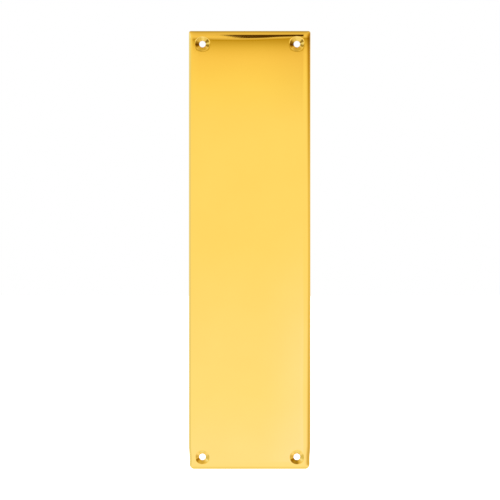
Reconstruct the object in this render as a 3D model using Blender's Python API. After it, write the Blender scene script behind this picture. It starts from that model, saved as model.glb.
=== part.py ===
"""A brass finger plate: one solid plate that is screwed to a door where hands push it.

The plate stands upright. X is its width, Z is its height, and Y is its thickness. Its flat back lies on the
plane Y = 0 with its centre at the origin, and its polished front faces -Y.
"""

import math

import bmesh
import bpy

MM = 0.001

# The plate
WIDTH = 75.0 * MM
HEIGHT = 270.0 * MM
THICKNESS = 3.0 * MM

# The front edge is rolled over as a quarter of an ellipse, and a low upright wall is left under it
ROLL_WIDTH = 5.5 * MM
ROLL_DEPTH = 2.0 * MM
ROLL_STEPS = 12

# The outline has round corners, and buffing has worn its long sides in a little near the foot
TOP_CORNER_RADIUS = 1.3 * MM
BOTTOM_CORNER_RADIUS = 3.0 * MM
CORNER_STEPS = 8
WEAR_DEPTH = 0.5 * MM
WEAR_START = 14.5 * MM
WEAR_END = 6.0 * MM
WEAR_STEPS = 6

# Four countersunk holes for No. 6 wood screws. They sit a little low on the plate.
HOLE_SPACING_X = 58.2 * MM
HOLE_SPACING_Z = 254.4 * MM
HOLE_DROP = 0.3 * MM
HOLE_RADIUS = 2.0 * MM
SINK_RADIUS = 4.35 * MM
SINK_HALF_ANGLE = math.radians(55)
LIP_RADIUS = 1.2 * MM
LIP_STEPS = 4
HOLE_SIDES = 48

# How far a cutting shape runs past the surface that it cuts
OVERSHOOT = 2.0 * MM

BRASS_COLOUR = (0.95, 0.66, 0.14, 1.0)
BRASS_ROUGHNESS = 0.1
SHARP_ANGLE = math.radians(35)


def clear_scene():
    for obj in list(bpy.data.objects):
        bpy.data.objects.remove(obj)


def brass_material():
    material = bpy.data.materials.new("polished_brass")
    material.use_nodes = True
    shader = material.node_tree.nodes["Principled BSDF"]
    shader.inputs["Base Color"].default_value = BRASS_COLOUR
    shader.inputs["Metallic"].default_value = 1.0
    shader.inputs["Roughness"].default_value = BRASS_ROUGHNESS
    return material


def mesh_object(name, bm):
    """Turns a bmesh into an object in the scene, with its faces pointing out."""
    bmesh.ops.recalc_face_normals(bm, faces=bm.faces)
    mesh = bpy.data.meshes.new(name)
    bm.to_mesh(mesh)
    bm.free()
    obj = bpy.data.objects.new(name, mesh)
    bpy.context.scene.collection.objects.link(obj)
    return obj


def make_cutter(obj):
    """Marks an object as a helper that only shapes the plate."""
    obj.hide_render = True
    obj.display_type = "WIRE"
    return obj


def add_boolean(target, cutter, operation):
    modifier = target.modifiers.new(cutter.name, "BOOLEAN")
    modifier.operation = operation
    modifier.solver = "EXACT"
    modifier.object = cutter


def edge_stations(half_size):
    """Places across the plate, from one side to the other, that are close together where the edge rolls over."""
    rolled = []
    for step in range(ROLL_STEPS + 1):
        angle = math.pi / 2 * step / ROLL_STEPS
        rolled.append(half_size - ROLL_WIDTH * (1 - math.cos(angle)))
    outside = half_size + OVERSHOOT
    positive = [outside] + rolled
    return [-place for place in positive] + positive[::-1]


def remaining_height(place, half_size):
    """The share of the roll's depth that stands at this distance from the middle: 1 on the flat, 0 at the edge."""
    into_roll = (abs(place) - (half_size - ROLL_WIDTH)) / ROLL_WIDTH
    into_roll = min(max(into_roll, 0.0), 1.0)
    return math.sqrt(1 - into_roll**2)


def side_wear(z):
    """How far each long side is worn in at height z: nothing above the start, and all of it below the end."""
    above_foot = z + HEIGHT / 2
    share = (WEAR_START - above_foot) / (WEAR_START - WEAR_END)
    share = min(max(share, 0.0), 1.0)
    return WEAR_DEPTH * share**2 * (3 - 2 * share)


def wear_stations():
    """Heights, going up, at which the worn part of the sides has its points."""
    spacing = (WEAR_START - WEAR_END) / WEAR_STEPS
    return [WEAR_END + spacing * step - HEIGHT / 2 for step in range(WEAR_STEPS + 1)]


def rolled_slab():
    """A slab a little larger than the plate, with the plate's rolled front and flat back."""
    columns = edge_stations(WIDTH / 2)
    rows = sorted(edge_stations(HEIGHT / 2) + wear_stations())
    bm = bmesh.new()
    grid = []
    for z in rows:
        row_share = remaining_height(z, HEIGHT / 2)
        wear = side_wear(z)
        line = []
        for column in columns:
            x = column - math.copysign(wear, column)
            sunk = ROLL_DEPTH * (1 - row_share * remaining_height(column, WIDTH / 2))
            line.append(bm.verts.new((x, sunk - THICKNESS, z)))
        grid.append(line)
    for lower, upper in zip(grid, grid[1:]):
        for left in range(len(columns) - 1):
            bm.faces.new((lower[left], lower[left + 1], upper[left + 1], upper[left]))
    rim = [edge for edge in bm.edges if edge.is_boundary]
    skirt = bmesh.ops.extrude_edge_only(bm, edges=rim)["geom"]
    skirt_verts = [item for item in skirt if isinstance(item, bmesh.types.BMVert)]
    for vert in skirt_verts:
        vert.co.y = 0.0
    back_rim = [edge for edge in bm.edges if edge.is_boundary]
    bmesh.ops.contextual_create(bm, geom=back_rim)
    return mesh_object("finger_plate", bm)


def corner_points(side_place, end_place, radius, up):
    """A round corner of the outline's right half, from its upright side round to its end."""
    points = []
    for step in range(CORNER_STEPS + 1):
        angle = math.pi / 2 * step / CORNER_STEPS
        x = side_place - radius * (1 - math.cos(angle))
        z = end_place - up * radius * (1 - math.sin(angle))
        points.append((x, z))
    return points


def outline_points():
    """The plate's outline, once round: up its right half, then down its left half."""
    foot_corner = corner_points(WIDTH / 2 - WEAR_DEPTH, -HEIGHT / 2, BOTTOM_CORNER_RADIUS, -1)
    worn_side = [(WIDTH / 2 - side_wear(z), z) for z in wear_stations()]
    head_corner = corner_points(WIDTH / 2, HEIGHT / 2, TOP_CORNER_RADIUS, 1)
    right_half = foot_corner[::-1] + worn_side + head_corner
    left_half = [(-x, z) for x, z in right_half[::-1]]
    return right_half + left_half


def outline_block():
    """A block with the plate's outline that runs past its front and its back."""
    bm = bmesh.new()
    verts = [bm.verts.new((x, -THICKNESS - OVERSHOOT, z)) for x, z in outline_points()]
    face = bm.faces.new(verts)
    block = bmesh.ops.extrude_face_region(bm, geom=[face])["geom"]
    moved = [item for item in block if isinstance(item, bmesh.types.BMVert)]
    bmesh.ops.translate(bm, verts=moved, vec=(0, THICKNESS + 2 * OVERSHOOT, 0))
    return make_cutter(mesh_object("outline_block", bm))


def hole_profile():
    """(radius, Y) down one side of a screw hole: a soft lip, the countersink and the bore."""
    front = -THICKNESS
    lip_reach = LIP_RADIUS * math.tan(SINK_HALF_ANGLE / 2)
    lip_outer = SINK_RADIUS + lip_reach
    profile = [(0.0, front - OVERSHOOT), (lip_outer, front - OVERSHOOT)]
    for step in range(LIP_STEPS + 1):
        angle = (math.pi / 2 - SINK_HALF_ANGLE) * step / LIP_STEPS
        radius = lip_outer - LIP_RADIUS * math.sin(angle)
        profile.append((radius, front + LIP_RADIUS * (1 - math.cos(angle))))
    sink_depth = (SINK_RADIUS - HOLE_RADIUS) / math.tan(SINK_HALF_ANGLE)
    profile.append((HOLE_RADIUS, front + sink_depth))
    profile.append((HOLE_RADIUS, OVERSHOOT))
    profile.append((0.0, OVERSHOOT))
    return profile


def hole_cutter(name, x, z):
    """The space of one screw hole, turned about the hole's axis."""
    bm = bmesh.new()
    verts = [bm.verts.new((radius, y, 0)) for radius, y in hole_profile()]
    edges = [bm.edges.new(pair) for pair in zip(verts, verts[1:])]
    bmesh.ops.spin(
        bm,
        geom=verts + edges,
        cent=(0, 0, 0),
        axis=(0, 1, 0),
        angle=2 * math.pi,
        steps=HOLE_SIDES,
        use_merge=True,
    )
    bmesh.ops.remove_doubles(bm, verts=bm.verts, dist=0.001 * MM)
    cutter = make_cutter(mesh_object(name, bm))
    cutter.location = (x, 0, z)
    return cutter


def drill_holes(plate):
    """Cuts the four screw holes, one near each corner."""
    for side_name, side_x in (("left", -1), ("right", 1)):
        for end_name, side_z in (("bottom", -1), ("top", 1)):
            name = f"{end_name}_{side_name}_hole"
            x = side_x * HOLE_SPACING_X / 2
            z = side_z * HOLE_SPACING_Z / 2 - HOLE_DROP
            cutter = hole_cutter(name, x, z)
            add_boolean(plate, cutter, "DIFFERENCE")


def make_finger_plate():
    plate = rolled_slab()
    add_boolean(plate, outline_block(), "INTERSECT")
    drill_holes(plate)
    plate.data.materials.append(brass_material())
    plate.data.shade_smooth()
    plate.data.set_sharp_from_angle(angle=SHARP_ANGLE)
    return plate


clear_scene()
make_finger_plate()
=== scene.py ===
"""The looks of a polished brass finger plate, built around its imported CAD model.

The plate stands upright and its polished front faces -Y. All sizes are in metres, in the CAD's frame.
"""

import math

import bmesh
import bpy
import numpy as np
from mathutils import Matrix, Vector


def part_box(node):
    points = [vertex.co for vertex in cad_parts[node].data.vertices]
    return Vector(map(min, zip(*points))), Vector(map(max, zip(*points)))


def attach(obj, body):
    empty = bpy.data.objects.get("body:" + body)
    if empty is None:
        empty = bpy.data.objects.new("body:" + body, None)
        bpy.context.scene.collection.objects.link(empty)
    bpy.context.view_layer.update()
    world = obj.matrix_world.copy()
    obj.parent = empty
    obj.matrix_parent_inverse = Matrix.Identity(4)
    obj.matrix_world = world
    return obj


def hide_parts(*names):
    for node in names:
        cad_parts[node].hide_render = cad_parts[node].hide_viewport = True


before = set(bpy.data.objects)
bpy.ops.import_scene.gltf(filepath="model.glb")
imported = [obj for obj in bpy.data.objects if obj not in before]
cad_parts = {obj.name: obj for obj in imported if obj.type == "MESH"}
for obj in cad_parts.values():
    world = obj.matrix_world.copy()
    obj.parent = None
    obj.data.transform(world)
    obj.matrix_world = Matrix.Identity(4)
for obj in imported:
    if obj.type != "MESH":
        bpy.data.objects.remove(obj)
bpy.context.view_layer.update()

MM = 0.001

# The plate, from the CAD's box
LOW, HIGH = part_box("finger_plate")
HALF_WIDTH = (HIGH.x - LOW.x) / 2
HALF_HEIGHT = (HIGH.z - LOW.z) / 2
FRONT = LOW.y
BACK = HIGH.y

# The rolled edge, as the CAD has it
ROLL_WIDTH = 5.5 * MM
ROLL_DEPTH = 2.0 * MM

# The roll's width wanders a little, because it was buffed by hand. The narrowing is the width that the top
# roll loses per metre to the right.
TOP_ROLL_WAVE = 0.45 * MM
TOP_ROLL_WAVE_LENGTH = 70 * MM
TOP_ROLL_CREST = -4 * MM
TOP_ROLL_NARROWING = 0.0106
OTHER_ROLL_WAVE = 0.25 * MM
OTHER_ROLL_WAVE_LENGTH = 90 * MM

# The outline's corners and the wear on its sides near the foot, as the CAD has them
TOP_CORNER_RADIUS = 1.3 * MM
BOTTOM_CORNER_RADIUS = 3.0 * MM
WEAR_DEPTH = 0.5 * MM
WEAR_START = 14.5 * MM
WEAR_END = 6.0 * MM

# The screw holes, as the CAD has them. Their pattern's centre is a little below the plate's.
HOLE_X = 29.1 * MM
HOLE_Z = 127.2 * MM
HOLE_DROP = 0.3 * MM
BORE_RADIUS = 2.0 * MM
SINK_RADIUS = 4.35 * MM
SINK_HALF_ANGLE = math.radians(55)
LIP_SOFTNESS = 0.28 * MM

# A small chamfer round the back and round the bores, where real metal is never razor sharp
BACK_CHAMFER = 0.15 * MM

# How the mesh is laid out: a grid with a square patch of rings let into it at each hole
PATCH_HALF = 6.6 * MM
PATCH_CELLS = 24
EDGE_CELLS = 14
MIDDLE_COLUMNS = 20
MIDDLE_ROWS = 60
SINK_CELLS = 7
LIP_CELLS = 14
SPREAD_CELLS = 8
WALL_CELLS = 4
WELD_DISTANCE = 0.0005 * MM
SHARP_ANGLE = math.radians(32)

# How far the close rings reach to each side of the lip, in lip softnesses
LIP_REACH_IN = 1.3
LIP_REACH_OUT = 1.1

# In a narrow strip at each end, beyond the patches, the grid has this much more room to follow the corners
CORNER_ROOM = 4 * MM
END_STRIP = HALF_HEIGHT - HOLE_Z - HOLE_DROP - PATCH_HALF

# The camera looks straight at the plate. The picture's frame is measured at the plate's front.
CAMERA_DISTANCE = 0.8
FRAME_SIZE = 307.5 * MM
CAMERA_SIDE = 0.2 * MM
SENSOR_WIDTH = 36.0

# The plate's material slots
POLISHED, TURNED, GROUND = 0, 1, 2


# ---------------------------------------------------------------- shape

def corner_inset(rise, radius):
    """How far a round corner of this radius draws the side in, at this height above the end."""
    below = np.clip(radius - rise, 0, radius)
    return radius - np.sqrt(radius**2 - below**2)


def outline_inset(z):
    """How far the plate's side is drawn in at height z, by its corners and by the wear near its foot."""
    above_foot = z + HALF_HEIGHT
    share = np.clip((WEAR_START - above_foot) / (WEAR_START - WEAR_END), 0, 1)
    wear = WEAR_DEPTH * share**2 * (3 - 2 * share)
    foot = corner_inset(above_foot, BOTTOM_CORNER_RADIUS)
    head = corner_inset(HALF_HEIGHT - z, TOP_CORNER_RADIUS)
    return wear + foot + head


def wave(place, length, crest=0.0):
    """A wave between -1 and 1 that is highest at the crest."""
    return np.cos(2 * math.pi * (place - crest) / length)


def into_roll(distance, width):
    """0 on the flat, rising to 1 at the outer edge, from the distance to that edge."""
    return np.clip(1 - distance / width, 0, 1)


def rolled_front(x, z):
    """Y of the front without its holes: flat, and falling away as part of an ellipse at the edges."""
    top_wave = TOP_ROLL_WAVE * wave(x, TOP_ROLL_WAVE_LENGTH, TOP_ROLL_CREST)
    top_roll = ROLL_WIDTH - TOP_ROLL_NARROWING * x + top_wave
    foot_roll = ROLL_WIDTH + OTHER_ROLL_WAVE * wave(x, OTHER_ROLL_WAVE_LENGTH)
    side_roll = ROLL_WIDTH + OTHER_ROLL_WAVE * wave(z, OTHER_ROLL_WAVE_LENGTH)
    end_roll = np.where(z > 0, top_roll, foot_roll)
    sideways = into_roll(HALF_WIDTH - outline_inset(z) - np.abs(x), side_roll)
    upright = into_roll(HALF_HEIGHT - np.abs(z), end_roll)
    standing = np.sqrt((1 - sideways**2) * (1 - upright**2))
    return FRONT + ROLL_DEPTH * (1 - standing)


def smooth_max(a, b, softness):
    """The larger of two values, with a soft turn where they cross."""
    share = np.clip(0.5 + 0.5 * (a - b) / softness, 0, 1)
    return b + (a - b) * share + softness * share * (1 - share)


def front_surface(x, z):
    """Y of the whole front, countersinks included."""
    from_hole = np.hypot(np.abs(x) - HOLE_X, np.abs(z + HOLE_DROP) - HOLE_Z)
    sink = FRONT + (SINK_RADIUS - from_hole) / math.tan(SINK_HALF_ANGLE)
    return smooth_max(sink, rolled_front(x, z), LIP_SOFTNESS)


def flat_back(x, z):
    return np.full(np.shape(x), BACK)


# ---------------------------------------------------------------- mesh layout

def edge_places(half_size, patch_outer):
    """Places from a hole's patch out to the plate's edge, closer together where the edge rolls over."""
    last_angle = math.acos(1 - (half_size - patch_outer) / ROLL_WIDTH)
    angles = last_angle * np.arange(EDGE_CELLS, -1, -1) / EDGE_CELLS
    return half_size - ROLL_WIDTH * (1 - np.cos(angles))


def outer_places(half_size, hole_place):
    """Every grid line's place from a hole's patch out to the plate's edge."""
    outer = hole_place + PATCH_HALF
    patch = np.linspace(hole_place - PATCH_HALF, outer, PATCH_CELLS + 1)
    return np.concatenate([patch, edge_places(half_size, outer)[1:]])


def grid_places(half_size, low_hole, high_hole, middle_cells):
    """Every grid line's place, from one edge of the plate to the other."""
    low = -outer_places(half_size, -low_hole)[::-1]
    high = outer_places(half_size, high_hole)
    middle = np.linspace(low[-1], high[0], middle_cells + 1)[1:-1]
    return np.concatenate([low, middle, high])


def draw_in_corners(x, z, extra_inset):
    """Moves the grid's outer columns in, so that the outermost ones follow the outline."""
    strip = HALF_WIDTH - HOLE_X - PATCH_HALF
    beyond_patch = into_roll(HALF_HEIGHT - np.abs(z), END_STRIP)
    start = HALF_WIDTH - strip - CORNER_ROOM * beyond_patch
    share = np.clip((np.abs(x) - start) / (HALF_WIDTH - start), 0, 1)
    return x - np.sign(x) * (outline_inset(z) + extra_inset) * share


def sheet_plan(inset):
    """(x, z) of each grid point of the plate's outline, drawn in by inset all round."""
    columns = grid_places(HALF_WIDTH, -HOLE_X, HOLE_X, MIDDLE_COLUMNS)
    rows = grid_places(HALF_HEIGHT, -HOLE_Z - HOLE_DROP, HOLE_Z - HOLE_DROP, MIDDLE_ROWS)
    x, z = np.meshgrid(columns, rows)
    x = draw_in_corners(x, z, inset)
    end_share = into_roll(HALF_HEIGHT - np.abs(z), END_STRIP)
    return x, z - np.sign(z) * inset * end_share


def square_ring():
    """Once round a square of half size 1 from its lower left corner, with a patch's cells along each side."""
    along = np.linspace(-1, 1, PATCH_CELLS + 1)[:-1]
    ones = np.ones(PATCH_CELLS)
    x = np.concatenate([along, ones, -along, -ones])
    z = np.concatenate([-ones, along, ones, -along])
    return np.append(x, x[0]), np.append(z, z[0])


def ring_plan(radii, spread_cells):
    """(x, z) offsets of the rings round a hole, from the innermost circle out to the patch's square edge."""
    square_x, square_z = square_ring()
    length = np.hypot(square_x, square_z)
    unit_x, unit_z = square_x / length, square_z / length
    rings = [(radius * unit_x, radius * unit_z) for radius in radii]
    for step in range(1, spread_cells + 1):
        share = step / spread_cells
        x = radii[-1] * unit_x * (1 - share) + PATCH_HALF * square_x * share
        z = radii[-1] * unit_z * (1 - share) + PATCH_HALF * square_z * share
        rings.append((x, z))
    return np.array([ring[0] for ring in rings]), np.array([ring[1] for ring in rings])


class Builder:
    """Collects grids of points as quads, which are welded into one mesh at the end."""

    def __init__(self):
        self.points = []
        self.faces = []
        self.materials = []

    def add_grid(self, x, y, z, material, keep=None):
        """Adds a grid of points, and a quad for each of its cells, or only for those that keep says."""
        rows, columns = x.shape
        first = len(self.points)
        self.points.extend(np.stack([x, y, z], axis=-1).reshape(-1, 3).tolist())
        for row in range(rows - 1):
            for column in range(columns - 1):
                if keep is not None and not keep[row, column]:
                    continue
                a = first + row * columns + column
                self.faces.append((a, a + 1, a + columns + 1, a + columns))
                self.materials.append(material)

    def make(self, name):
        """Makes the object, with no loose points and its faces pointing out."""
        mesh = bpy.data.meshes.new(name)
        mesh.from_pydata(self.points, [], self.faces)
        mesh.polygons.foreach_set("material_index", self.materials)
        bm = bmesh.new()
        bm.from_mesh(mesh)
        loose = [vert for vert in bm.verts if not vert.link_faces]
        bmesh.ops.delete(bm, geom=loose, context="VERTS")
        bmesh.ops.remove_doubles(bm, verts=bm.verts, dist=WELD_DISTANCE)
        bmesh.ops.recalc_face_normals(bm, faces=bm.faces)
        bm.to_mesh(mesh)
        bm.free()
        obj = bpy.data.objects.new(name, mesh)
        bpy.context.scene.collection.objects.link(obj)
        return obj


def hole_centres():
    """(x, z) of the four holes."""
    return [(side * HOLE_X, end * HOLE_Z - HOLE_DROP) for side in (-1, 1) for end in (-1, 1)]


def cells_outside_patches(x, z):
    """True for each grid cell that isn't inside a hole's square patch."""
    middle_x = np.abs(x[:-1, :-1] + x[1:, 1:]) / 2
    middle_z = np.abs((z[:-1, :-1] + z[1:, 1:]) / 2 + HOLE_DROP)
    inside = (np.abs(middle_x - HOLE_X) < PATCH_HALF) & (np.abs(middle_z - HOLE_Z) < PATCH_HALF)
    return ~inside


def add_sheet(builder, surface, inset, material):
    """The front or the back, with square gaps where the holes' patches go."""
    x, z = sheet_plan(inset)
    builder.add_grid(x, surface(x, z), z, material, keep=cells_outside_patches(x, z))


def add_rings(builder, surface, radii, spread_cells, centre, material):
    """Some or all of the rings of a hole's patch, on the front or the back."""
    ring_x, ring_z = ring_plan(radii, spread_cells)
    x = ring_x + centre[0]
    z = ring_z + centre[1]
    builder.add_grid(x, surface(x, z), z, material)


def front_radii():
    """Circles down a countersink, close together round its soft lip, and on to the flat."""
    lip_inner = SINK_RADIUS - LIP_SOFTNESS * LIP_REACH_IN
    lip_outer = SINK_RADIUS + LIP_SOFTNESS * LIP_REACH_OUT
    sink = np.linspace(BORE_RADIUS, lip_inner, SINK_CELLS + 1)[:-1]
    lip = np.linspace(lip_inner, lip_outer, LIP_CELLS + 1)
    return np.concatenate([sink, lip])


def circle_line(radius, centre):
    """x and z once round a circle, at the same angles as a patch's rings."""
    ring_x, ring_z = ring_plan([radius], 0)
    return ring_x[0] + centre[0], ring_z[0] + centre[1]


def once_round(sheet):
    """A sheet's outermost points, in order, once round."""
    return np.concatenate([sheet[0, :], sheet[1:, -1], sheet[-1, -2::-1], sheet[-2::-1, 0]])


def outline_line(inset):
    """x and z once round the plate's outline, drawn in by inset."""
    x, z = sheet_plan(inset)
    return once_round(x), once_round(z)


def add_wall(builder, line, material):
    """The upright wall under a closed line on the front, down to where the back's chamfer starts."""
    x, z = line
    top = front_surface(x, z)
    steps = np.linspace(0, 1, WALL_CELLS + 1)[:, None]
    wall_y = top + (BACK - BACK_CHAMFER - top) * steps
    wall_x = np.repeat(x[None], WALL_CELLS + 1, 0)
    wall_z = np.repeat(z[None], WALL_CELLS + 1, 0)
    builder.add_grid(wall_x, wall_y, wall_z, material)


def add_chamfer(builder, wall_line, back_line, material):
    """The small slope from the foot of a wall to the back."""
    x = np.vstack([wall_line[0], back_line[0]])
    z = np.vstack([wall_line[1], back_line[1]])
    y = np.full(x.shape, BACK)
    y[0] -= BACK_CHAMFER
    builder.add_grid(x, y, z, material)


def add_hole(builder, centre):
    """One screw hole: its front patch with the countersink, its patch on the back, and its bore."""
    radii = front_radii()
    sink_count = int(np.sum(radii < SINK_RADIUS))
    add_rings(builder, front_surface, radii[: sink_count + 1], 0, centre, TURNED)
    add_rings(builder, front_surface, radii[sink_count:], SPREAD_CELLS, centre, POLISHED)
    add_rings(builder, flat_back, [BORE_RADIUS + BACK_CHAMFER], SPREAD_CELLS, centre, GROUND)
    bore = circle_line(BORE_RADIUS, centre)
    add_wall(builder, bore, TURNED)
    add_chamfer(builder, bore, circle_line(BORE_RADIUS + BACK_CHAMFER, centre), TURNED)


def make_plate():
    """The plate as one closed mesh, whose faces take their material slots by number."""
    builder = Builder()
    add_sheet(builder, front_surface, 0.0, POLISHED)
    add_sheet(builder, flat_back, BACK_CHAMFER, GROUND)
    for centre in hole_centres():
        add_hole(builder, centre)
    outline = outline_line(0.0)
    add_wall(builder, outline, POLISHED)
    add_chamfer(builder, outline, outline_line(BACK_CHAMFER), GROUND)
    plate = builder.make("polished_finger_plate")
    plate.data.shade_smooth()
    plate.data.set_sharp_from_angle(angle=SHARP_ANGLE)
    return plate


# ---------------------------------------------------------------- node helpers

class Wiring:
    """Adds linked nodes to a tree, so that a formula can be written as one call inside another."""

    def __init__(self, tree):
        self.tree = tree

    def node(self, kind, **settings):
        """A new node, with some of its settings."""
        made = self.tree.nodes.new(kind)
        for name, value in settings.items():
            setattr(made, name, value)
        return made

    def feed(self, socket, value):
        """Links another node's output to a socket, or sets the socket to a plain value."""
        if isinstance(value, bpy.types.NodeSocket):
            self.tree.links.new(value, socket)
        else:
            socket.default_value = value

    def math(self, operation, *values):
        made = self.node("ShaderNodeMath", operation=operation)
        for socket, value in zip(made.inputs, values):
            self.feed(socket, value)
        return made.outputs[0]

    def split(self, vector):
        made = self.node("ShaderNodeSeparateXYZ")
        self.feed(made.inputs[0], vector)
        return made.outputs

    def times(self, *values):
        """The product of all the values."""
        product = values[0]
        for value in values[1:]:
            product = self.math("MULTIPLY", product, value)
        return product

    def stretch(self, vector, factors):
        """A vector whose x, y and z are multiplied by the three factors."""
        made = self.node("ShaderNodeVectorMath", operation="MULTIPLY")
        self.feed(made.inputs[0], vector)
        self.feed(made.inputs[1], factors)
        return made.outputs[0]

    def ease(self, value, start, end):
        """0 before start, 1 after end, with a soft rise between."""
        made = self.node("ShaderNodeMapRange", interpolation_type="SMOOTHSTEP", clamp=True)
        self.feed(made.inputs["Value"], value)
        self.feed(made.inputs["From Min"], start)
        self.feed(made.inputs["From Max"], end)
        return made.outputs["Result"]

    def ramp(self, value, stops):
        """A colour ramp. stops is a list of (value, colour), from the lowest value to the highest."""
        first = stops[0][0]
        last = stops[-1][0]
        span = self.node("ShaderNodeMapRange", clamp=True)
        self.feed(span.inputs["Value"], value)
        self.feed(span.inputs["From Min"], first)
        self.feed(span.inputs["From Max"], last)
        made = self.node("ShaderNodeValToRGB")
        elements = made.color_ramp.elements
        while len(elements) < len(stops):
            elements.new(0.5)
        for element, (place, colour) in zip(elements, stops):
            element.position = (place - first) / (last - first)
            element.color = (*colour, 1.0)
        self.feed(made.inputs[0], span.outputs["Result"])
        return made.outputs[0]

    def mix(self, share, first, second):
        """The first colour where share is 0, and the second where it is 1."""
        made = self.node("ShaderNodeMix", data_type="RGBA", clamp_factor=True)
        self.feed(made.inputs[0], share)
        self.feed(made.inputs[6], first)
        self.feed(made.inputs[7], second)
        return made.outputs[2]

    def tint(self, colour, tint):
        """A colour multiplied by another."""
        made = self.node("ShaderNodeMix", data_type="RGBA", blend_type="MULTIPLY")
        made.inputs[0].default_value = 1.0
        self.feed(made.inputs[6], colour)
        self.feed(made.inputs[7], tint)
        return made.outputs[2]

    def noise(self, vector, scale, detail=2.0):
        made = self.node("ShaderNodeTexNoise")
        self.feed(made.inputs["Vector"], vector)
        made.inputs["Scale"].default_value = scale
        made.inputs["Detail"].default_value = detail
        return made.outputs["Fac"]

    def bump(self, height, distance):
        """A normal that shows a relief: a height of 1 stands this distance proud."""
        made = self.node("ShaderNodeBump")
        made.inputs["Strength"].default_value = 1.0
        made.inputs["Distance"].default_value = distance
        self.feed(made.inputs["Height"], height)
        return made.outputs[0]


# ---------------------------------------------------------------- materials

BRASS = (0.98, 0.67, 0.135)
BRASS_DEEP = (0.96, 0.64, 0.12)
BRASS_GROUND = (0.80, 0.55, 0.15)
BRASS_DULL = (0.60, 0.40, 0.12)

# The polished front. Noises are scaled per metre, and stretched so that their lines run along the plate.
POLISHED_CLOUDS = 35.0
BUFFING_STRETCH = (3000.0, 1.0, 40.0)
BUFFING_DEPTH = 0.0001 * MM
POLISHED_ROUGHNESS = 0.025
POLISHED_ROUGHNESS_SPREAD = 0.02

# The turned holes
TURNED_CLOUDS = 400.0
RING_SPACING = 0.12 * MM
RING_DEPTH = 0.0015 * MM
TURNED_ROUGHNESS = 0.1
TURNED_ROUGHNESS_SPREAD = 0.08

# The ground back. Its tone is partly clouds and partly grain, and turns from dull to bright over the span.
GROUND_CLOUDS = 18.0
GROUND_CLOUD_DETAIL = 4.0
GRAIN_STRETCH = (900.0, 1.0, 12.0)
GRAIN_DETAIL = 6.0
GRAIN_DEPTH = 0.006 * MM
GRAIN_SHARE = 0.4
TONE_SPAN = (0.35, 0.65)
GROUND_ROUGHNESS = 0.22
GROUND_ROUGHNESS_SPREAD = 0.25

# Painted dark reflections on the countersinks' walls: the tint that each strength of them multiplies the
# colour by
PAINTED_REFLECTION_TINTS = [(0.0, (1.0, 1.0, 1.0)), (0.5, (0.72, 0.64, 0.27)), (1.0, (0.22, 0.13, 0.02))]

# How far, in radians, the painted reflections' outlines wander, and the scale of the noise that moves them
PAINTED_REFLECTION_UNEVENNESS = 0.5
PAINTED_REFLECTION_NOISE = 500.0

# The share of a painted reflection patch's half width, out from its middle, that is at full strength
PAINTED_REFLECTION_CORE = 0.25

# Where the painted dark reflections lie: (hole's side, hole's end, patches), with each patch's angle
# round the hole and half width in degrees, and its strength
PAINTED_REFLECTIONS = [
    (-1, 1, [(184, 42, 0.85), (120, 25, 0.40), (52, 24, 0.3), (27, 17, 0.85), (-18, 15, 0.85)]),
    (1, 1, [(179, 46, 0.90), (120, 25, 0.35), (52, 24, 0.2), (27, 16, 0.85), (-17, 15, 0.80)]),
    (-1, -1, [(225, 30, 0.2), (-4, 26, 0.3)]),
    (1, -1, [(245, 52, 0.65), (4, 28, 0.3)]),
]


def rgba(colour):
    return (*colour, 1.0)


def metal(name):
    """A new metal material, its wiring, its shader and the plate's own coordinates."""
    material = bpy.data.materials.new(name)
    material.use_nodes = True
    wiring = Wiring(material.node_tree)
    shader = material.node_tree.nodes["Principled BSDF"]
    shader.inputs["Metallic"].default_value = 1.0
    place = wiring.node("ShaderNodeTexCoord").outputs["Object"]
    return material, wiring, shader, place


def polished_brass():
    """Mirror polish with faint lengthwise buffing lines and cloudy changes of tone."""
    material, wiring, shader, place = metal("polished_brass")
    clouds = wiring.noise(place, POLISHED_CLOUDS)
    lines = wiring.noise(wiring.stretch(place, BUFFING_STRETCH), 1.0)
    colour = wiring.mix(clouds, rgba(BRASS_DEEP), rgba(BRASS))
    roughness = wiring.math("MULTIPLY_ADD", lines, POLISHED_ROUGHNESS_SPREAD, POLISHED_ROUGHNESS)
    wiring.feed(shader.inputs["Base Color"], colour)
    wiring.feed(shader.inputs["Roughness"], roughness)
    wiring.feed(shader.inputs["Normal"], wiring.bump(lines, BUFFING_DEPTH))
    return material


def from_hole_centre(wiring, place):
    """How far across and how far along each point is from the centre of the hole near it."""
    x, y, z = wiring.split(place)
    hole_x = wiring.times(wiring.math("SIGN", x), HOLE_X)
    hole_z = wiring.math("MULTIPLY_ADD", wiring.math("SIGN", z), HOLE_Z, -HOLE_DROP)
    return wiring.math("SUBTRACT", x, hole_x), wiring.math("SUBTRACT", z, hole_z)


def near_hole(wiring, place, side, end):
    """1 on the quarter of the plate that has the hole on this side and at this end, and 0 elsewhere."""
    x, y, z = wiring.split(place)
    on_side = wiring.math("GREATER_THAN", wiring.times(x, side), 0.0)
    on_end = wiring.math("GREATER_THAN", wiring.times(z, end), 0.0)
    return wiring.times(on_side, on_end)


def painted_reflection_patches(wiring, angle, patches):
    """How much painted dark reflection darkens the wall at this angle round the hole."""
    total = 0.0
    for middle, half_width, strength in patches:
        turn = math.radians(middle) + PAINTED_REFLECTION_UNEVENNESS / 2
        nearness = wiring.math("COSINE", wiring.math("SUBTRACT", angle, turn))
        edge = math.cos(math.radians(half_width))
        core = math.cos(math.radians(half_width * PAINTED_REFLECTION_CORE))
        total = wiring.math("MULTIPLY_ADD", wiring.ease(nearness, edge, core), strength, total)
    return total


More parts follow.
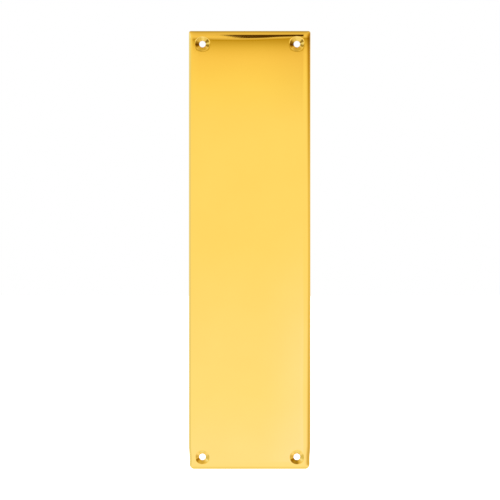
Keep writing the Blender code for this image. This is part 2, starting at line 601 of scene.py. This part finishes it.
def all_painted_reflections(wiring, place, angle):
    """How much painted dark reflection darkens each point of the four holes."""
    uneven = wiring.math("MULTIPLY_ADD", wiring.noise(place, PAINTED_REFLECTION_NOISE), PAINTED_REFLECTION_UNEVENNESS, angle)
    total = 0.0
    for side, end, patches in PAINTED_REFLECTIONS:
        painted_darkness = painted_reflection_patches(wiring, uneven, patches)
        total = wiring.math("MULTIPLY_ADD", painted_darkness, near_hole(wiring, place, side, end), total)
    return total


def turned_brass():
    """The countersinks and bores, with a cutter's fine rings, and painted dark reflections on their walls."""
    material, wiring, shader, place = metal("turned_brass")
    across, along = from_hole_centre(wiring, place)
    squares = wiring.math("ADD", wiring.times(across, across), wiring.times(along, along))
    turns = wiring.times(wiring.math("SQRT", squares), 2 * math.pi / RING_SPACING)
    rings = wiring.math("SINE", turns)
    # Painted dark reflections: the walls' colour is darkened in patches at set angles round each hole
    painted_reflection = all_painted_reflections(wiring, place, wiring.math("ARCTAN2", along, across))
    clouds = wiring.noise(place, TURNED_CLOUDS)
    colour = wiring.mix(clouds, rgba(BRASS_DEEP), rgba(BRASS))
    colour = wiring.tint(colour, wiring.ramp(painted_reflection, PAINTED_REFLECTION_TINTS))
    roughness = wiring.math("MULTIPLY_ADD", clouds, TURNED_ROUGHNESS_SPREAD, TURNED_ROUGHNESS)
    wiring.feed(shader.inputs["Base Color"], colour)
    wiring.feed(shader.inputs["Roughness"], roughness)
    wiring.feed(shader.inputs["Normal"], wiring.bump(rings, RING_DEPTH))
    return material


def ground_brass():
    """The back, ground flat on a belt: straight grain along the plate, duller than the front."""
    material, wiring, shader, place = metal("ground_brass")
    grain = wiring.noise(wiring.stretch(place, GRAIN_STRETCH), 1.0, GRAIN_DETAIL)
    clouds = wiring.noise(place, GROUND_CLOUDS, GROUND_CLOUD_DETAIL)
    blend = wiring.math("MULTIPLY_ADD", clouds, 1 - GRAIN_SHARE, wiring.times(grain, GRAIN_SHARE))
    tone = wiring.ease(blend, *TONE_SPAN)
    colour = wiring.mix(tone, rgba(BRASS_DULL), rgba(BRASS_GROUND))
    roughness = wiring.math("MULTIPLY_ADD", grain, GROUND_ROUGHNESS_SPREAD, GROUND_ROUGHNESS)
    wiring.feed(shader.inputs["Base Color"], colour)
    wiring.feed(shader.inputs["Roughness"], roughness)
    wiring.feed(shader.inputs["Normal"], wiring.bump(grain, GRAIN_DEPTH))
    return material


# ---------------------------------------------------------------- studio

# The studio's light depends only on its direction from the plate. Angles are in degrees: height is above the
# horizon, steepness is the distance from the horizon either way, and yaw goes round to the right from
# straight in front of the plate.

# The light by height, as (height, colour)
LIGHT_BY_HEIGHT = [
    (-90.0, (0.95, 1.05, 1.50)),
    (-78.0, (0.98, 1.10, 1.60)),
    (-62.0, (0.92, 0.93, 0.95)),
    (-48.0, (1.08, 1.10, 1.50)),
    (-40.0, (1.10, 1.12, 1.65)),
    (-8.7, (1.10, 1.13, 1.75)),
    (-8.1, (1.10, 1.12, 1.66)),
    (-6.5, (1.09, 1.11, 1.46)),
    (-4.4, (1.08, 1.09, 1.40)),
    (-2.2, (1.07, 1.07, 1.24)),
    (0.0, (1.06, 1.05, 1.07)),
    (4.4, (1.05, 1.04, 0.98)),
    (5.7, (1.05, 1.02, 0.92)),
    (7.0, (1.04, 0.99, 0.74)),
    (11.0, (0.66, 0.52, 0.17)),
    (14.0, (0.76, 0.64, 0.38)),
    (18.0, (0.90, 0.78, 0.50)),
    (22.0, (0.99, 0.84, 0.52)),
    (32.0, (0.90, 0.77, 0.47)),
    (38.0, (0.87, 0.74, 0.46)),
    (46.0, (0.84, 0.71, 0.46)),
    (58.0, (0.67, 0.56, 0.29)),
    (66.0, (0.63, 0.53, 0.25)),
    (75.0, (0.70, 0.57, 0.23)),
    (90.0, (0.58, 0.50, 0.20)),
]

# The same light down into a narrow dim band, which the whole ramp is too coarse for
LIGHT_AT_DIM_BAND = [
    (7.0, (1.04, 0.99, 0.74)),
    (7.6, (1.03, 0.95, 0.65)),
    (8.3, (1.01, 0.88, 0.56)),
    (8.5, (0.98, 0.84, 0.50)),
    (8.72, (0.92, 0.77, 0.41)),
    (8.87, (0.83, 0.70, 0.29)),
    (9.0, (0.72, 0.58, 0.21)),
    (9.07, (0.63, 0.49, 0.12)),
    (9.14, (0.55, 0.40, 0.04)),
    (10.0, (0.53, 0.38, 0.03)),
    (11.0, (0.66, 0.52, 0.17)),
]

# Parts of the studio, as (colour, soft edges). Each edge is (what it runs along, where it starts, where it is
# full). Back is how far behind the plate a direction points: the sine of its angle to the plate.
FRONT_RIGHT = [("yaw", 0.2, 3.2), ("yaw", 15.0, 5.0)]
WINDOW_EDGES = [("height", 11.0, 15.0), ("height", 29.0, 25.0), ("yaw", -52.0, -57.0), ("yaw", -70.0, -66.0)]
TINTED_PARTS = [
    # a little dimmer above the front right
    ((0.93, 0.90, 0.90), [("height", 5.0, 8.0), ("height", 10.0, 9.3)] + FRONT_RIGHT),
    # a little paler below the front right
    ((1.00, 1.04, 1.35), [("height", 3.0, -6.0), ("height", -20.0, -10.0)] + FRONT_RIGHT),
    # dimmer high up behind the plate
    ((0.45, 0.60, 0.60), [("back", 0.05, 0.35), ("height", 15.0, 30.0)]),
]
LIT_PARTS = [
    # pale light from the far right
    ((0.95, 1.08, 2.20), [("yaw", 82.0, 105.0), ("yaw", 132.0, 118.0), ("steepness", 80.0, 60.0)]),
    # a warm glow high on the left, and paler light further round
    ((1.00, 0.92, 0.62), [("yaw", -20.0, -45.0), ("height", 6.0, 9.0), ("height", 42.0, 20.0)]),
    ((0.88, 0.94, 1.20), [("yaw", -42.0, -54.0), ("steepness", 55.0, 25.0)]),
    ((0.88, 1.08, 2.20), [("yaw", -74.0, -92.0), ("yaw", -132.0, -118.0), ("steepness", 55.0, 25.0)]),
    # a small bright window on the left
    ((1.10, 1.25, 2.20), WINDOW_EDGES),
]

# A dark card above the camera. Its left edge leans, and its foot is lower at its left end.
CARD_COLOUR = (0.09, 0.045, 0.0)
CARD_EDGES = [("yaw", 13.0, 8.0), ("height", 37.4, 34.2)]
CARD_LEFT = 0.24
CARD_LEAN = -0.04
CARD_LEFT_SOFTNESS = 0.03
CARD_FOOT = 17.4
CARD_FOOT_STEP = 3.0
CARD_FOOT_STEP_SPAN = (0.35, 0.9)
CARD_FOOT_SOFTNESS = 0.6

# The studio's dark right side: how dark it is at the horizon, and how much darker above and below it
SIDE_SPAN = (31.0, 60.0)
SIDE_LEAN_LIMIT = 10.0
SIDE_EDGES = [("yaw", 130.0, 65.0), ("steepness", 48.0, 16.0)]
SIDE_DARKNESS = 0.22
SIDE_DARKER_ABOVE = 0.32
SIDE_ABOVE_SPAN = (2.0, 9.8)
SIDE_DARKER_BELOW = 0.14
SIDE_BELOW_SPAN = (-1.0, -9.0)

# How the dark side tints the light: (darkness, tint)
DARK_SIDE_TINTS = [
    (0.0, (1.0, 1.0, 1.0)),
    (0.21, (0.79, 0.71, 0.45)),
    (0.4, (0.60, 0.477, 0.18)),
    (0.58, (0.42, 0.29, 0.055)),
    (0.8, (0.20, 0.10, 0.005)),
    (1.0, (0.05, 0.01, 0.0)),
]
WHITE = (1.0, 1.0, 1.0)

# The floor
FLOOR_HALF_SIZE = 3.0
FLOOR_CELLS = 4
FLOOR_COLOUR = (0.8, 0.8, 0.8)
FLOOR_ROUGHNESS = 0.9


def studio_directions(wiring):
    """Everything that the edges of the studio's parts run along."""
    x, y, z = wiring.split(wiring.node("ShaderNodeTexCoord").outputs["Generated"])
    height = wiring.math("DEGREES", wiring.math("ARCSINE", z))
    yaw = wiring.math("DEGREES", wiring.math("ARCTAN2", x, wiring.times(y, -1.0)))
    return {"height": height, "yaw": yaw, "steepness": wiring.math("ABSOLUTE", height), "back": y}


def part_mask(wiring, directions, edges):
    """1 inside a part of the studio, 0 outside it, and soft at its edges."""
    eased = [wiring.ease(directions[along], start, full) for along, start, full in edges]
    return wiring.times(*eased)


def light_by_height(wiring, height):
    """The light at each height, with the finer ramp laid over its dim band."""
    light = wiring.ramp(height, LIGHT_BY_HEIGHT)
    above_start = wiring.math("GREATER_THAN", height, LIGHT_AT_DIM_BAND[0][0])
    below_end = wiring.math("LESS_THAN", height, LIGHT_AT_DIM_BAND[-1][0])
    in_band = wiring.times(above_start, below_end)
    return wiring.mix(in_band, light, wiring.ramp(height, LIGHT_AT_DIM_BAND))


def card_mask(wiring, directions):
    """1 where the dark card is."""
    height = directions["height"]
    yaw = directions["yaw"]
    left = wiring.math("MULTIPLY_ADD", height, CARD_LEAN, CARD_LEFT)
    past_left = wiring.ease(wiring.math("SUBTRACT", yaw, left), -CARD_LEFT_SOFTNESS, CARD_LEFT_SOFTNESS)
    foot_step = wiring.ease(yaw, *CARD_FOOT_STEP_SPAN)
    foot = wiring.math("MULTIPLY_ADD", foot_step, CARD_FOOT_STEP, CARD_FOOT)
    above_foot = wiring.ease(wiring.math("SUBTRACT", height, foot), -CARD_FOOT_SOFTNESS, CARD_FOOT_SOFTNESS)
    return wiring.times(past_left, above_foot, part_mask(wiring, directions, CARD_EDGES))


def side_darkness(wiring, directions):
    """How dark the right side is. Away from the horizon it is darker and starts further to the front."""
    height = directions["height"]
    lean = wiring.math("MINIMUM", directions["steepness"], SIDE_LEAN_LIMIT)
    inside = wiring.ease(wiring.math("ADD", directions["yaw"], lean), *SIDE_SPAN)
    above = wiring.ease(height, *SIDE_ABOVE_SPAN)
    below = wiring.ease(height, *SIDE_BELOW_SPAN)
    darkness = wiring.math("MULTIPLY_ADD", above, SIDE_DARKER_ABOVE, SIDE_DARKNESS)
    darkness = wiring.math("MULTIPLY_ADD", below, SIDE_DARKER_BELOW, darkness)
    return wiring.times(inside, darkness, part_mask(wiring, directions, SIDE_EDGES))


def studio_light():
    """A world that lights the plate as a bright tent would, and looks plain white to the camera."""
    world = bpy.data.worlds.new("studio")
    bpy.context.scene.world = world
    world.use_nodes = True
    tree = world.node_tree
    tree.nodes.clear()
    wiring = Wiring(tree)
    directions = studio_directions(wiring)
    light = light_by_height(wiring, directions["height"])
    for colour, edges in TINTED_PARTS:
        mask = part_mask(wiring, directions, edges)
        light = wiring.tint(light, wiring.mix(mask, rgba(WHITE), rgba(colour)))
    light = wiring.mix(card_mask(wiring, directions), light, rgba(CARD_COLOUR))
    light = wiring.tint(light, wiring.ramp(side_darkness(wiring, directions), DARK_SIDE_TINTS))
    for colour, edges in LIT_PARTS:
        light = wiring.mix(part_mask(wiring, directions, edges), light, rgba(colour))
    seen = wiring.node("ShaderNodeLightPath").outputs["Is Camera Ray"]
    background = wiring.node("ShaderNodeBackground")
    wiring.feed(background.inputs["Color"], wiring.mix(seen, light, rgba(WHITE)))
    output = wiring.node("ShaderNodeOutputWorld")
    wiring.feed(output.inputs["Surface"], background.outputs[0])


def make_floor():
    """A plain pale floor under the plate, as white as the backdrop, that doesn't show in its reflections."""
    bm = bmesh.new()
    bmesh.ops.create_grid(bm, x_segments=FLOOR_CELLS, y_segments=FLOOR_CELLS, size=FLOOR_HALF_SIZE)
    mesh = bpy.data.meshes.new("floor")
    bm.to_mesh(mesh)
    bm.free()
    floor = bpy.data.objects.new("floor", mesh)
    floor.location.z = -HALF_HEIGHT
    bpy.context.scene.collection.objects.link(floor)
    material = bpy.data.materials.new("pale_floor")
    material.use_nodes = True
    shader = material.node_tree.nodes["Principled BSDF"]
    shader.inputs["Base Color"].default_value = rgba(FLOOR_COLOUR)
    shader.inputs["Roughness"].default_value = FLOOR_ROUGHNESS
    shader.inputs["Emission Color"].default_value = rgba(WHITE)
    shader.inputs["Emission Strength"].default_value = 1.0
    mesh.materials.append(material)
    floor.visible_glossy = False
    floor.visible_diffuse = False


def make_camera():
    """A camera level with the plate's middle, whose picture is as wide as the frame at the plate's front."""
    data = bpy.data.cameras.new("camera")
    data.sensor_width = SENSOR_WIDTH
    data.lens = SENSOR_WIDTH * CAMERA_DISTANCE / FRAME_SIZE
    camera = bpy.data.objects.new("camera", data)
    camera.location = (CAMERA_SIDE, FRONT - CAMERA_DISTANCE, 0.0)
    camera.rotation_euler = (math.pi / 2, 0.0, 0.0)
    bpy.context.scene.collection.objects.link(camera)
    bpy.context.scene.camera = camera


make_camera()
bpy.context.scene.view_settings.view_transform = "Standard"
plate = make_plate()
for made in (polished_brass(), turned_brass(), ground_brass()):
    plate.data.materials.append(made)
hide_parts("finger_plate")
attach(plate, "root")
studio_light()
make_floor()
